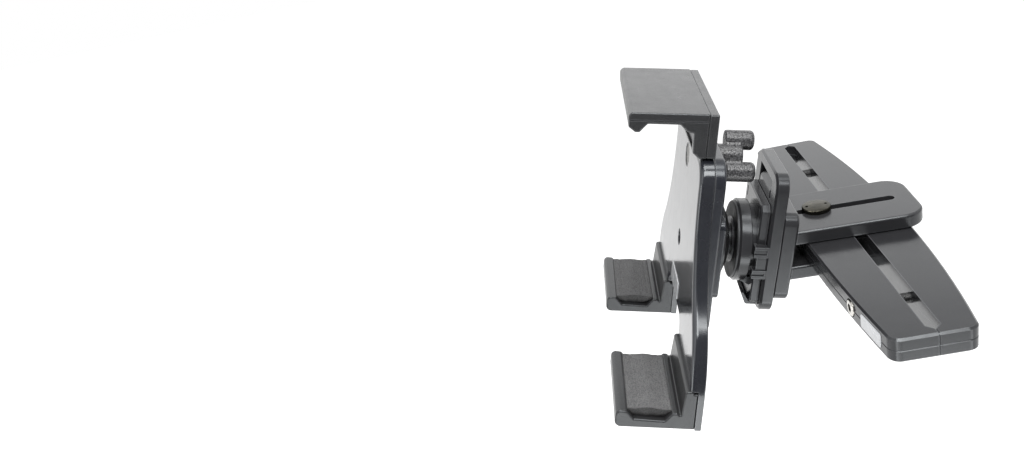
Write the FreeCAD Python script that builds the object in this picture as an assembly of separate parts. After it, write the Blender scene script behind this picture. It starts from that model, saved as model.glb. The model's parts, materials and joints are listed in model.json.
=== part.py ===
# Headrest tablet mount: two-jaw bar, forked arm, slide-on clip, ball swivel and adjustable tablet holder
# Millimetres, +Z up, +Y towards the headrest, origin in the middle of the post slot
import FreeCAD
import Part
import math
import os

os.makedirs("parts", exist_ok=True)
V = FreeCAD.Vector

# Bar of two jaws
BAR_LENGTH = 250.0
BAR_THICKNESS = 12.4
POST_SLOT = 6.6
FRONT_DEPTH_MIDDLE = 24.7
FRONT_DEPTH_END = 17.2
REAR_DEPTH_MIDDLE = 24.5
REAR_DEPTH_END = 14.4
BAR_CORNER = 5.5
BAR_BEVEL = 1.0
SEAM_BEVEL = 0.35
END_LIP = 4.0
JOINT_GROOVE = 0.8
BAR_BADGE_WIDTH = 20.0
BAR_BADGE_HEIGHT = 7.2
BAR_BADGE_INSET = 20.0

# Cross bolts of the bar
BOLT_INSET = 42.0
BOLT_D = 5.0
BOLT_HEAD_D = 8.5
BOLT_HEAD_H = 4.8
BOLT_HEAD_PROUD = 0.6
NUT_WIDTH = 8.0
NUT_THICKNESS = 4.0
NUT_WALL = 1.5
KEY_WIDTH = 4.0
JAW_SCREW_D = 3.0
JAW_SCREW_HEAD_D = 5.6

# Arm fork
ARM_WIDTH = 49.0
ARM_THICKNESS = 8.0
ARM_TAIL = 52.0
ARM_REACH = 17.3
ARM_END_RADIUS = 12.0
ARM_EDGE = 1.4
ARM_SLOT_LAND = 5.3
ARM_SLOT_END = 10.0
ARM_SWING = -2.7
CLAMP_OFFSET = 15.8
CLAMP_BOLT_D = 5.0
CLAMP_DISC_D = 15.5
CLAMP_DISC_H = 3.0
CLAMP_FOOT_D = 14.0
PIN_HOLE_D = 2.0
PIN_HOLE_SPREAD = 10.0
INCLINE = 12.5
ARM_RISE = 8.2

# Clip: leaning plate, receiver, adapter and latch
ARM_PLATE_WIDTH = 51.0
ARM_PLATE_HEIGHT = 52.0
ARM_PLATE_THICKNESS = 8.2
ARM_PLATE_CORNER = 6.0
ARM_PLATE_DROP = 26.0
SCREW_D = 3.5
SCREW_HEAD_D = 6.4
RECEIVER_WIDTH = 53.0
RECEIVER_HEIGHT = 82.0
RECEIVER_DROP = 34.0
RECEIVER_THICKNESS = 7.0
RECEIVER_CORNER = 8.5
RECEIVER_BEVEL = 1.2
WINDOW_WIDTH = 30.0
WINDOW_MARGIN = 5.8
WINDOW_HEIGHT = 11.0
WINDOW_DEPTH = 4.5
WEDGE_GAP = 2.6
WEDGE_TOP = 3.4
ADAPTER_WIDTH = 44.0
ADAPTER_HEIGHT = 58.5
ADAPTER_THICKNESS = 4.6
ADAPTER_DROP = 29.0
ADAPTER_CHAMFER = 3.0
ADAPTER_SLOT = 1.6
ADAPTER_SLOT_LENGTH = 6.0
HOOK_WALL = 4.1
HOOK_LIP = 1.4
HOOK_GRIP = 1.2
HOOK_RIM = 1.6
HOOK_HOLLOW = 0.8
LOWER_HOOK_DROP = 11.5
LOWER_HOOK_HEIGHT = 5.0
UPPER_HOOK_RISE = 1.3
UPPER_HOOK_HEIGHT = 6.2
LATCH_WIDTH = 38.0
LATCH_THICKNESS = 1.5
LATCH_RISE = 7.0
LATCH_LEAN = 4.0
LATCH_NOTCH = 23.0

# Ball swivel
COLLAR_D = 47.0
COLLAR_DEPTH = 6.6
COLLAR_NECK_D = 41.6
COLLAR_NECK = 2.5
RING_D = 38.0
RING_FLANGE_D = 44.0
RING_FLANGE = 1.3
BALL_D = 28.0
BALL_NECK_D = 18.0
BALL_SINK = 3.3
BALL_REAR = 2.0
BALL_FRONT = 5.5
BALL_TILT = 12.0
BASE_D = 42.0
BASE_DEPTH = 8.5
BASE_TAPER = 3.0
BASE_TAPER_D = 29.0
BASE_GAP = 3.1
RIB_SPREAD = 26.0
RIB_WIDTH = 3.0
RIB_DROP = 16.5
RIB_HEIGHT = 5.2
RIB_NOSE = 1.7

# Holder plates
HOLDER_HEIGHT = 131.0
TOP_WIDTH = 100.8
FOOT_SPAN = 177.0
PLATE_THICKNESS = 7.7
PLATE_EDGE = 2.8
PLATE_CORNER = 12.0
HEAD_STRAIGHT = 1.0
FLARE_FOOT = 18.7
FLARE_SHARE = 0.647
NOTCH_WIDTH = 61.4
NOTCH_HEIGHT = 31.8
NOTCH_CORNER = 8.0
BACK_PLATE_THICKNESS = 5.5
BACK_PLATE_FOOT = 35.0
REAR_PLATE_WIDTH = 88.0
REAR_PLATE_HEIGHT = 45.0
REAR_PLATE_THICKNESS = 3.8
REAR_PLATE_DROP = 16.0
SCREW_INSET = 9.0
SWIVEL_HEIGHT = 68.5
SWIVEL_HOLE_D = 8.7
CENTRE_SCREW_D = 5.0
CENTRE_HEAD_D = 8.0
CENTRE_HEAD_H = 3.0
BADGE_WIDTH = 30.0
BADGE_HEIGHT = 11.0
BADGE_MIDDLE = 41.0
BADGE_DEPTH = 0.8
BADGE_PROUD = 0.4

# Claw and feet
CLAW_WIDTH = 85.6
CLAW_TRAVEL = 55.0
HOOK_REACH = 37.0
LIP_WIDTH = 6.0
LIP_NOSE = 3.8
LIP_DRAFT = 0.4
LIP_SLOPE = 3.8
GROOVE_REAR = 11.3
RIDGE_FRONT = 7.4
RAIL_WIDTH = 2.2
RAIL_DROP = 2.2
CLAW_RISE = 23.2
CLAW_ROOF = 5.8
CLAW_DROP = 10.2
SLIDE_THICKNESS = 4.6
SLIDE_WIDTH = 40.0
SLIDE_GAP = 11.0
SLIDE_HOLD = 26.0
CLAW_GAP = 0.9
CLAW_FACE = 4.3
CLAW_POCKET = 1.4
END_ROUND = 0.9
PARTING_DROP = 3.9
PARTING = 0.35
SEAM_ROUND = 0.6
FOOT_WIDTH = 57.3
FOOT_BLOCK = 23.2
FOOT_LIP = 10.2
FOOT_FLOOR = 4.6
FOOT_SEAM = 4.3
FOOT_FACE = 2.4
RIDGE_STEP = 1.4
RIDGE_REAR = 2.0
PAD_INSET = 3.0
PAD_PROUD = 0.5

# Clamp knob of the claw
KNOB_DROP = 12.3
KNOB_BOLT_D = 6.0
KNOB_HEAD_D = 12.0
KNOB_HUB_D = 13.0
KNOB_HUB_LENGTH = 9.1
KNOB_WEB = 9.0
WASHER_D = 14.0
WASHER_H = 1.7
KNOB_STANDOFF = 5.0
KNOB_LOBE_D = 11.0
KNOB_LOBE_OFFSET = 9.2
KNOB_LENGTH = 15.9
KNOB_TURN = 40.0

# Clearances
PAD_FIT = 0.3
SLIDE_FIT = 0.1
LOOSE_FIT = 0.3
TURN_FIT = 0.05
SEAT_FIT = 0.05


# Shapes from named sizes
def block(x, y, z):
    return Part.makeBox(x[1] - x[0], y[1] - y[0], z[1] - z[0], V(x[0], y[0], z[0]))


def rod(diameter, start, axis, length):
    return Part.makeCylinder(diameter / 2, length, V(*start), V(*axis))


def joined(first, *others):
    return first.fuse(list(others)).removeSplitter()


def without(first, *others):
    return first.cut(list(others))


def mirrored(shape, normal):
    return shape.mirror(V(0, 0, 0), V(*normal))


# Closed outline through corners given as (u, v, radius), laid in a plane by a placing function
def outline(corners, lay):
    edges = []
    starts = []
    ends = []
    count = len(corners)
    for i in range(count):
        u, v, r = corners[i]
        here = V(u, v, 0)
        back = V(corners[i - 1][0], corners[i - 1][1], 0) - here
        ahead = V(corners[(i + 1) % count][0], corners[(i + 1) % count][1], 0) - here
        back.normalize()
        ahead.normalize()
        half = back.getAngle(ahead) / 2
        run = r / math.tan(half) if r else 0.0
        starts.append(here + back * run)
        ends.append(here + ahead * run)
        if r:
            middle = back + ahead
            middle.normalize()
            peak = here + middle * (r / math.sin(half) - r)
            edges.append(Part.Arc(lay(starts[i]), lay(peak), lay(ends[i])).toShape())
    for i in range(count):
        a = ends[i]
        b = starts[(i + 1) % count]
        if (a - b).Length > 1e-6:
            edges.append(Part.makeLine(lay(a), lay(b)))
    return Part.Wire(Part.__sortEdges__(edges))


# Slab across Y from an outline in X and Z, bar across X from a profile in Y and Z
def slab(corners, y):
    wire = outline(corners, lambda p: V(p.x, y[0], p.y))
    return Part.Face(wire).extrude(V(0, y[1] - y[0], 0))


def bar(corners, x):
    wire = outline(corners, lambda p: V(x[0], p.x, p.y))
    return Part.Face(wire).extrude(V(x[1] - x[0], 0, 0))


def panel(width, z, y, r):
    w = width / 2
    return slab([(-w, z[0], r), (w, z[0], r), (w, z[1], r), (-w, z[1], r)], y)


# Edges lying in a plane, for rounding and bevelling
def in_plane(shape, axis, at):
    low = {"x": "XMin", "y": "YMin", "z": "ZMin"}[axis]
    high = {"x": "XMax", "y": "YMax", "z": "ZMax"}[axis]
    found = []
    for e in shape.Edges:
        b = e.BoundBox
        if abs(getattr(b, low) - at) < 1e-4 and abs(getattr(b, high) - at) < 1e-4:
            found.append(e)
    return found


def bevelled(shape, axis, at, size):
    return shape.makeChamfer(size, in_plane(shape, axis, at))


def rounded(shape, axis, at, size):
    return shape.makeFillet(size, in_plane(shape, axis, at))


# Countersunk screw with a hexagon socket, and the hole that takes it
def screw(head, axis, d, length, head_d, grow=0.0):
    a = V(*axis)
    start = V(*head)
    sink = (head_d - d) / 2
    r = d / 2 + grow
    cone = Part.makeCone(head_d / 2 + grow, r, sink, start, a)
    shank = Part.makeCylinder(r, length + 4 * grow, start, a)
    solid = cone.fuse(shank).removeSplitter()
    if grow == 0.0:
        six = Part.makeCylinder(d * 0.3, sink, start, a)
        solid = solid.cut(six)
    return solid


def screws(places, axis, d, length, head_d, grow=0.0):
    return [screw(p, axis, d, length, head_d, grow) for p in places]


def hexagon(width, start, axis, depth):
    radius = width / math.sqrt(3)
    turns = [math.radians(60 * k) for k in range(7)]
    ring = [V(radius * math.cos(t), radius * math.sin(t), 0) for t in turns]
    prism = Part.Face(Part.makePolygon(ring)).extrude(V(0, 0, depth))
    prism.Placement = FreeCAD.Placement(V(*start), FreeCAD.Rotation(V(0, 0, 1), V(*axis)))
    return prism


# Frames: the arm swings on the clamp bolt, the clip and holder lean back on the arm
half_bar = BAR_THICKNESS / 2
BASE_REAR = PLATE_THICKNESS + BACK_PLATE_THICKNESS + REAR_PLATE_THICKNESS + BASE_DEPTH
RING_FRONT = BASE_REAR + BASE_GAP
COLLAR_FRONT = RING_FRONT + RING_FLANGE + SLIDE_FIT
ADAPTER_FACE = COLLAR_FRONT + COLLAR_DEPTH + COLLAR_NECK
RECEIVER_FACE = ADAPTER_FACE + ADAPTER_THICKNESS + LOOSE_FIT
ARM_PLATE_FACE = RECEIVER_FACE + RECEIVER_THICKNESS
ARM_PLATE_REAR = ARM_PLATE_FACE + ARM_PLATE_THICKNESS
ARM_TOP_ON_PLATE = SWIVEL_HEIGHT + ARM_RISE
ball_y = RING_FRONT + RING_FLANGE + BALL_SINK
ball_centre = V(0, ball_y, SWIVEL_HEIGHT)
lean = FreeCAD.Rotation(V(1, 0, 0), -INCLINE)
plate_foot = V(0, -ARM_REACH, half_bar)
FACE_TO_ARM = FreeCAD.Placement(plate_foot - lean.multVec(V(0, ARM_PLATE_REAR, ARM_TOP_ON_PLATE)), lean)
ARM_TO_ROW = FreeCAD.Placement(V(0, -CLAMP_OFFSET, 0), FreeCAD.Rotation(V(0, 0, 1), ARM_SWING))
FACE_TO_ROW = ARM_TO_ROW.multiply(FACE_TO_ARM)
HERE = FreeCAD.Placement()


def write(name, shapes, frame):
    placed = []
    for s in shapes:
        t = s.copy()
        t.Placement = frame.multiply(t.Placement)
        placed.append(t)
    whole = placed[0] if len(placed) == 1 else Part.makeCompound(placed)
    whole.exportStep("parts/" + name + ".step")


# Jaws: lens-shaped plates with a straight slot edge and end lips that meet
half_slot = POST_SLOT / 2
half_length = BAR_LENGTH / 2


def jaw_plan(side, middle, end):
    s = half_slot
    lip = half_length - END_LIP
    outer = side * (s + end)
    corners = [V(-half_length, 0, 0), V(-lip, 0, 0), V(-lip + s, side * s, 0), V(lip - s, side * s, 0)]
    corners += [V(lip, 0, 0), V(half_length, 0, 0), V(half_length, outer, 0)]
    edges = [Part.makeLine(corners[i], corners[i + 1]) for i in range(6)]
    edges.append(Part.Arc(corners[6], V(0, side * (s + middle), 0), V(-half_length, outer, 0)).toShape())
    edges.append(Part.makeLine(V(-half_length, outer, 0), corners[0]))
    return Part.Wire(Part.__sortEdges__(edges))


def jaw_edge(middle, end, x):
    sag = middle - end
    radius = (sag * sag + half_length * half_length) / (2 * sag)
    return half_slot + middle - radius + math.sqrt(radius * radius - x * x)


def outside(plate, z):
    found = []
    for e in in_plane(plate, "z", z):
        if max(abs(e.BoundBox.YMin), abs(e.BoundBox.YMax)) > half_slot + 0.1:
            found.append(e)
    return found


def jaw(side, middle, end):
    plate = Part.Face(jaw_plan(side, middle, end)).extrude(V(0, 0, half_bar))
    upright = []
    for e in plate.Edges:
        b = e.BoundBox
        if b.ZLength > half_bar - 1e-3 and abs(abs(b.YMax + b.YMin) / 2 - half_slot - end) < 1e-3:
            upright.append(e)
    plate = plate.makeFillet(BAR_CORNER, upright)
    plate = plate.makeChamfer(BAR_BEVEL, outside(plate, half_bar))
    plate = plate.makeChamfer(SEAM_BEVEL, outside(plate, 0.0))
    joint_cuts = []
    for s in (-1, 1):
        end = s * half_length
        joint_cuts.append(rod(JOINT_GROOVE, (end, 0, -1), (0, 0, 1), BAR_THICKNESS))
        joint_cuts.append(rod(JOINT_GROOVE, (end, 0, half_bar), (-s, 0, 0), END_LIP + half_slot))
    return without(plate, *joint_cuts)


bolt_x = half_length - BOLT_INSET
front_face = jaw_edge(FRONT_DEPTH_MIDDLE, FRONT_DEPTH_END, bolt_x)
rear_face = jaw_edge(REAR_DEPTH_MIDDLE, REAR_DEPTH_END, bolt_x)
head_front = -front_face - BOLT_HEAD_PROUD
head_seat = head_front + BOLT_HEAD_H
bolt_tip = rear_face - 3.0
nut_y = (half_slot + NUT_WALL, half_slot + NUT_WALL + NUT_THICKNESS)
front_cuts = []
rear_cuts = []
for x in (-bolt_x, bolt_x):
    front_cuts.append(rod(BOLT_D + 2 * LOOSE_FIT, (x, -BAR_LENGTH, 0), (0, 1, 0), 2 * BAR_LENGTH))
    head_room = BOLT_HEAD_D + 2.4 * LOOSE_FIT
    front_cuts.append(rod(head_room, (x, head_seat - BAR_LENGTH, 0), (0, 1, 0), BAR_LENGTH))
    rear_cuts.append(rod(BOLT_D + 2 * LOOSE_FIT, (x, 0, 0), (0, 1, 0), bolt_tip + 0.7))
    w = NUT_WIDTH / 2 + SEAT_FIT
    rear_cuts.append(block((x - w, x + w), (nut_y[0] - SEAT_FIT, nut_y[1] + SEAT_FIT), (-w, w)))
clamp_hole_d = CLAMP_BOLT_D + 2 * LOOSE_FIT
front_cuts.append(rod(clamp_hole_d, (0, -CLAMP_OFFSET, -BAR_LENGTH), (0, 0, 1), 2 * BAR_LENGTH))

screw_x = (-0.84 * half_length, -0.36 * half_length, 0.36 * half_length, 0.84 * half_length)
front_screw_y = -half_slot - FRONT_DEPTH_END / 2
rear_screw_y = half_slot + REAR_DEPTH_END / 2
front_heads = [(x, front_screw_y, -half_bar) for x in screw_x]
rear_heads = [(x, rear_screw_y, -half_bar) for x in screw_x]
jaw_screw = 0.8 * BAR_THICKNESS
up = (0, 0, 1)
front_holes = screws(front_heads, up, JAW_SCREW_D, jaw_screw, JAW_SCREW_HEAD_D, SEAT_FIT)
rear_holes = screws(rear_heads, up, JAW_SCREW_D, jaw_screw, JAW_SCREW_HEAD_D, SEAT_FIT)

front_blank = jaw(-1, FRONT_DEPTH_MIDDLE, FRONT_DEPTH_END)
rear_blank = jaw(1, REAR_DEPTH_MIDDLE, REAR_DEPTH_END)
badge_x = half_length - BAR_BADGE_INSET
badge_y = -jaw_edge(FRONT_DEPTH_MIDDLE, FRONT_DEPTH_END, badge_x)
badge_slope = 2 * badge_x * (FRONT_DEPTH_MIDDLE - FRONT_DEPTH_END) / half_length ** 2
badge_turn = FreeCAD.Rotation(V(0, 0, 1), math.degrees(math.asin(badge_slope)))
badge_up = BAR_BADGE_HEIGHT / 2
bar_badge = panel(BAR_BADGE_WIDTH, (-badge_up, badge_up), (-BADGE_PROUD, BADGE_DEPTH), 1.2)
bar_badge = rounded(bar_badge, "y", -BADGE_PROUD, 0.3)
bar_badge.Placement = FreeCAD.Placement(V(badge_x, badge_y, 0), badge_turn)
seat_up = badge_up + SEAT_FIT
badge_seat = panel(BAR_BADGE_WIDTH + 2 * SEAT_FIT, (-seat_up, seat_up), (-2.0, BADGE_DEPTH + SEAT_FIT), 1.2)
badge_seat.Placement = bar_badge.Placement
write("front_jaw_upper", [without(front_blank, badge_seat, *front_cuts, *front_holes)], HERE)
write("front_jaw_lower", [without(mirrored(front_blank, up), badge_seat, *front_cuts, *front_holes)], HERE)
write("rear_jaw_upper", [without(rear_blank, *rear_cuts, *rear_holes)], HERE)
write("rear_jaw_lower", [without(mirrored(rear_blank, up), *rear_cuts, *rear_holes)], HERE)
write("front_jaw_screws", screws(front_heads, up, JAW_SCREW_D, jaw_screw, JAW_SCREW_HEAD_D), HERE)
write("rear_jaw_screws", screws(rear_heads, up, JAW_SCREW_D, jaw_screw, JAW_SCREW_HEAD_D), HERE)
write("bar_badge", [bar_badge], HERE)

# Socket head bolts across the slot, with square nuts in the rear jaw
for name, x in (("cross_bolt_left", -bolt_x), ("cross_bolt_right", bolt_x)):
    head = rod(BOLT_HEAD_D, (x, head_front, 0), (0, 1, 0), BOLT_HEAD_H)
    head = bevelled(head, "y", head_front, 0.5)
    shank = rod(BOLT_D, (x, head_front, 0), (0, 1, 0), bolt_tip - head_front)
    socket = hexagon(KEY_WIDTH, (x, head_front, 0), (0, 1, 0), 0.55 * BOLT_HEAD_H)
    write(name, [without(joined(head, shank), socket)], HERE)
nuts = []
for x in (-bolt_x, bolt_x):
    w = NUT_WIDTH / 2
    nut = block((x - w, x + w), nut_y, (-w, w))
    nuts.append(without(nut, rod(BOLT_D + 2 * TURN_FIT, (x, 0, 0), (0, 1, 0), 2 * nut_y[1])))
write("cross_nuts", nuts, HERE)

# Arms: slotted plates above and below the bar, cut to the leaning plate in front
arm_w = ARM_WIDTH / 2
slot_w = CLAMP_BOLT_D / 2 + LOOSE_FIT
slot_front = ARM_SLOT_LAND - ARM_REACH
slot_rear = ARM_TAIL - ARM_SLOT_END
front_room = block((-BAR_LENGTH, BAR_LENGTH), (-BAR_LENGTH, ARM_PLATE_REAR), (-BAR_LENGTH, BAR_LENGTH))
front_room.Placement = FACE_TO_ARM


def arm(z):
    y0 = -3 * ARM_REACH
    r = ARM_END_RADIUS
    corners = [(-arm_w, y0, 0), (arm_w, y0, 0), (arm_w, ARM_TAIL, r), (-arm_w, ARM_TAIL, r)]
    wire = outline(corners, lambda p: V(p.x, p.y, z[0]))
    body = Part.Face(wire).extrude(V(0, 0, z[1] - z[0]))
    body = rounded(body, "z", z[1], ARM_EDGE)
    body = rounded(body, "z", z[0], ARM_EDGE)
    groove = [(-slot_w, slot_front, 0.99 * slot_w), (slot_w, slot_front, 0.99 * slot_w)]
    groove += [(slot_w, slot_rear, 0.99 * slot_w), (-slot_w, slot_rear, 0.99 * slot_w)]
    cut = Part.Face(outline(groove, lambda p: V(p.x, p.y, z[0] - 1))).extrude(V(0, 0, z[1] - z[0] + 2))
    return without(body, cut, front_room)


arm_low = half_bar + SLIDE_FIT
arm_high = arm_low + ARM_THICKNESS
arm_middle = (arm_low + arm_high) / 2
rise = 1 / math.cos(math.radians(INCLINE))
fork_z = [ARM_TOP_ON_PLATE + (s * arm_middle - half_bar) * rise for s in (1, -1)]
arm_screw_x = 0.3 * ARM_WIDTH
arm_heads = [(x, ARM_PLATE_FACE, z) for z in fork_z for x in (-arm_screw_x, arm_screw_x)]
back = (0, 1, 0)
arm_screw = ARM_PLATE_THICKNESS + 0.8 * ARM_THICKNESS
arm_holes = screws(arm_heads, back, SCREW_D, arm_screw, SCREW_HEAD_D, SEAT_FIT)
holes_in_arm = []
for h in arm_holes:
    g = h.copy()
    g.Placement = FACE_TO_ARM
    holes_in_arm.append(g)
write("upper_arm", [without(arm((arm_low, arm_high)), *holes_in_arm)], ARM_TO_ROW)
write("lower_arm", [without(arm((-arm_high, -arm_low)), *holes_in_arm)], ARM_TO_ROW)

# Clamp bolt under the fork and its two-hole disc nut on top
disc_low = arm_high + SLIDE_FIT
bolt_foot = rod(CLAMP_FOOT_D, (0, 0, -disc_low - CLAMP_DISC_H), up, CLAMP_DISC_H)
bolt_foot = bevelled(bolt_foot, "z", -disc_low - CLAMP_DISC_H, 0.6)
bolt_shank = rod(CLAMP_BOLT_D, (0, 0, -disc_low - CLAMP_DISC_H), up, 2 * disc_low + 1.6 * CLAMP_DISC_H)
bolt_key = hexagon(KEY_WIDTH, (0, 0, -disc_low - CLAMP_DISC_H), up, 2.0)
write("clamp_bolt", [without(joined(bolt_foot, bolt_shank), bolt_key)], ARM_TO_ROW)
disc = rod(CLAMP_DISC_D, (0, 0, disc_low), up, CLAMP_DISC_H)
disc = rounded(disc, "z", disc_low + CLAMP_DISC_H, 0.9)
thread = rod(CLAMP_BOLT_D + 2 * TURN_FIT, (0, 0, 0), up, disc_low + 0.65 * CLAMP_DISC_H)
pin_at = PIN_HOLE_SPREAD / 2
pin_holes = [rod(PIN_HOLE_D, (s * pin_at, 0, disc_low + 1), up, CLAMP_DISC_H) for s in (-1, 1)]
write("clamp_disc", [without(disc, thread, *pin_holes)], ARM_TO_ROW)

# Leaning plate on the ends of the arms
plate_low = SWIVEL_HEIGHT - ARM_PLATE_DROP
plate_z = (plate_low, plate_low + ARM_PLATE_HEIGHT)
arm_plate = panel(ARM_PLATE_WIDTH, plate_z, (ARM_PLATE_FACE, ARM_PLATE_REAR), ARM_PLATE_CORNER)
arm_plate = rounded(arm_plate, "y", ARM_PLATE_REAR, ARM_EDGE)
arm_plate = bevelled(arm_plate, "y", ARM_PLATE_FACE, 0.8)
receiver_low = SWIVEL_HEIGHT - RECEIVER_DROP
clip_screw_z = (plate_z[0] + SCREW_HEAD_D, plate_z[1] - SCREW_HEAD_D)
clip_heads = [(x, RECEIVER_FACE, z) for z in clip_screw_z for x in (-arm_screw_x, arm_screw_x)]
clip_screw = RECEIVER_THICKNESS + 0.7 * ARM_PLATE_THICKNESS
clip_holes = screws(clip_heads, back, SCREW_D, clip_screw, SCREW_HEAD_D, SEAT_FIT)
write("arm_plate", [without(arm_plate, *arm_holes, *clip_holes)], FACE_TO_ROW)
write("arm_screws", screws(arm_heads, back, SCREW_D, arm_screw, SCREW_HEAD_D), FACE_TO_ROW)
write("clip_screws", screws(clip_heads, back, SCREW_D, clip_screw, SCREW_HEAD_D), FACE_TO_ROW)

# Receiver plate with a wedge in its window and four rail hooks round the adapter's edges
receiver_high = receiver_low + RECEIVER_HEIGHT
receiver_y = (RECEIVER_FACE, ARM_PLATE_FACE)
receiver = panel(RECEIVER_WIDTH, (receiver_low, receiver_high), receiver_y, RECEIVER_CORNER)
receiver = bevelled(receiver, "y", RECEIVER_FACE, RECEIVER_BEVEL)
receiver = rounded(receiver, "y", ARM_PLATE_FACE, 0.6)
window_top = receiver_high - WINDOW_MARGIN
window_low = window_top - WINDOW_HEIGHT
window_rear = RECEIVER_FACE + WINDOW_DEPTH
window_x = (-WINDOW_WIDTH / 2, WINDOW_WIDTH / 2)
window = block(window_x, (RECEIVER_FACE - 1, window_rear), (window_low, window_top))
ramp = [(window_rear + 1, window_low - 1, 0), (RECEIVER_FACE, window_low - 1, 0)]
ramp += [(RECEIVER_FACE, window_top - 2 * WEDGE_TOP, 0.8), (window_rear - 1, window_top - WEDGE_TOP, 0)]
ramp.append((window_rear + 1, window_top - WEDGE_TOP, 0))
wedge_w = WINDOW_WIDTH / 2 - WEDGE_GAP
wedge = bar(ramp, (-wedge_w, wedge_w))
window = without(window, wedge)
adapter_w = ADAPTER_WIDTH / 2
hooks = []
hook_in = adapter_w + LOOSE_FIT
hook_front = ADAPTER_FACE - LOOSE_FIT - HOOK_LIP
hook_out = hook_in + HOOK_WALL
lower_hook = SWIVEL_HEIGHT - LOWER_HOOK_DROP
upper_hook = SWIVEL_HEIGHT + UPPER_HOOK_RISE
for low, tall in ((lower_hook, LOWER_HOOK_HEIGHT), (upper_hook, UPPER_HOOK_HEIGHT)):
    high = low + tall
    wall = block((hook_in, hook_out), (hook_front, RECEIVER_FACE + 2), (low, high))
    grip = block((hook_in - HOOK_GRIP, hook_out), (hook_front, hook_front + HOOK_LIP), (low, high))
    hollow_x = (hook_out - HOOK_HOLLOW, hook_out + 1)
    hollow = block(hollow_x, (hook_front - 1, RECEIVER_FACE), (low + HOOK_RIM, high - HOOK_RIM))
    hook = without(joined(wall, grip), hollow)
    hooks += [hook, mirrored(hook, (1, 0, 0))]
rail_x = (hook_in, hook_out - HOOK_HOLLOW)
rail = block(rail_x, (ADAPTER_FACE, RECEIVER_FACE + 2), (lower_hook, upper_hook + UPPER_HOOK_HEIGHT))
rails = [rail, mirrored(rail, (1, 0, 0))]
clip_plate = without(joined(receiver, *hooks, *rails), window, *clip_holes)
write("clip_plate", [clip_plate], FACE_TO_ROW)

# Two-pronged release tongue at the receiver's foot
t = LATCH_THICKNESS
root = RECEIVER_FACE - LOOSE_FIT
adapter_low = SWIVEL_HEIGHT - ADAPTER_DROP
tongue_low = adapter_low - LOOSE_FIT - 0.6 - t
bend = ADAPTER_FACE - 0.6
tip = (bend - LATCH_LEAN, tongue_low + LATCH_RISE)
tongue = [(root, tongue_low, 0), (root, tongue_low + t, 0), (bend + 0.6 * t, tongue_low + t, 0.8)]
tongue += [(tip[0] + 0.9 * t, tip[1], 0.6), (tip[0], tip[1], 0.6), (bend - 0.6 * t, tongue_low, 1.6)]
latch = bar(tongue, (-LATCH_WIDTH / 2, LATCH_WIDTH / 2))
collar_room = rod(COLLAR_D + 4 * LOOSE_FIT, (0, 0, SWIVEL_HEIGHT), back, RECEIVER_FACE)
notch_x = (-LATCH_NOTCH / 2, LATCH_NOTCH / 2)
latch_notch = block(notch_x, (0, bend), (tongue_low + t, tip[1] + t))
write("clip_latch", [without(latch, collar_room, latch_notch)], FACE_TO_ROW)

# Adapter plate in one moulding with the collar that takes the swivel
a = adapter_w
adapter_high = adapter_low + ADAPTER_HEIGHT
adapter_rear = ADAPTER_FACE + ADAPTER_THICKNESS
k = ADAPTER_CHAMFER
shape = [(-a, adapter_low, 2), (a, adapter_low, 2), (a, adapter_high - k, 1), (a - k, adapter_high, 1)]
shape += [(k - a, adapter_high, 1), (-a, adapter_high - k, 1)]
adapter = slab(shape, (ADAPTER_FACE, adapter_rear))
adapter = bevelled(adapter, "y", ADAPTER_FACE, 0.7)
collar_rear = COLLAR_FRONT + COLLAR_DEPTH
collar = rod(COLLAR_D, (0, COLLAR_FRONT, SWIVEL_HEIGHT), back, COLLAR_DEPTH)
collar = bevelled(collar, "y", COLLAR_FRONT, 1.0)
collar = rounded(collar, "y", collar_rear, 0.6)
neck = rod(COLLAR_NECK_D, (0, COLLAR_FRONT + 1, SWIVEL_HEIGHT), back, COLLAR_DEPTH + COLLAR_NECK)
ring_rear = COLLAR_FRONT + COLLAR_DEPTH - 0.5
bore = rod(RING_D, (0, COLLAR_FRONT - 1, SWIVEL_HEIGHT), back, ring_rear + SLIDE_FIT - COLLAR_FRONT + 1)
ball_rear = ball_y + BALL_REAR
swing_room = BALL_D / 2 * math.sin(math.radians(BALL_TILT))
pocket_depth = ball_rear + swing_room - COLLAR_FRONT
pocket = rod(BALL_D + 8 * LOOSE_FIT, (0, COLLAR_FRONT, SWIVEL_HEIGHT), back, pocket_depth)
rib_top = SWIVEL_HEIGHT - RIB_DROP
rib = [(ADAPTER_FACE + 1, rib_top, 0), (ADAPTER_FACE + 1, rib_top - RIB_HEIGHT, 0)]
rib_front = COLLAR_FRONT + 3
rib += [(ADAPTER_FACE, rib_top - RIB_HEIGHT, 0), (rib_front, rib_top - RIB_NOSE, 0), (rib_front, rib_top, 0)]
rib_x = RIB_SPREAD / 2
ribs = [bar(rib, (s * rib_x - RIB_WIDTH / 2, s * rib_x + RIB_WIDTH / 2)) for s in (-1, 1)]
slot_x = a - 3 * ADAPTER_SLOT
slot_z = (adapter_high - 2 * ADAPTER_SLOT - ADAPTER_SLOT_LENGTH, adapter_high - 2 * ADAPTER_SLOT)
slots = []
for s in (-1, 1):
    sides = (s * slot_x - ADAPTER_SLOT / 2, s * slot_x + ADAPTER_SLOT / 2)
    slots.append(block(sides, (ADAPTER_FACE - 1, adapter_rear + 1), slot_z))
adapter = without(joined(adapter, collar, neck, *ribs), bore, pocket, *slots)
write("socket_adapter", [adapter], FACE_TO_ROW)

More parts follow.
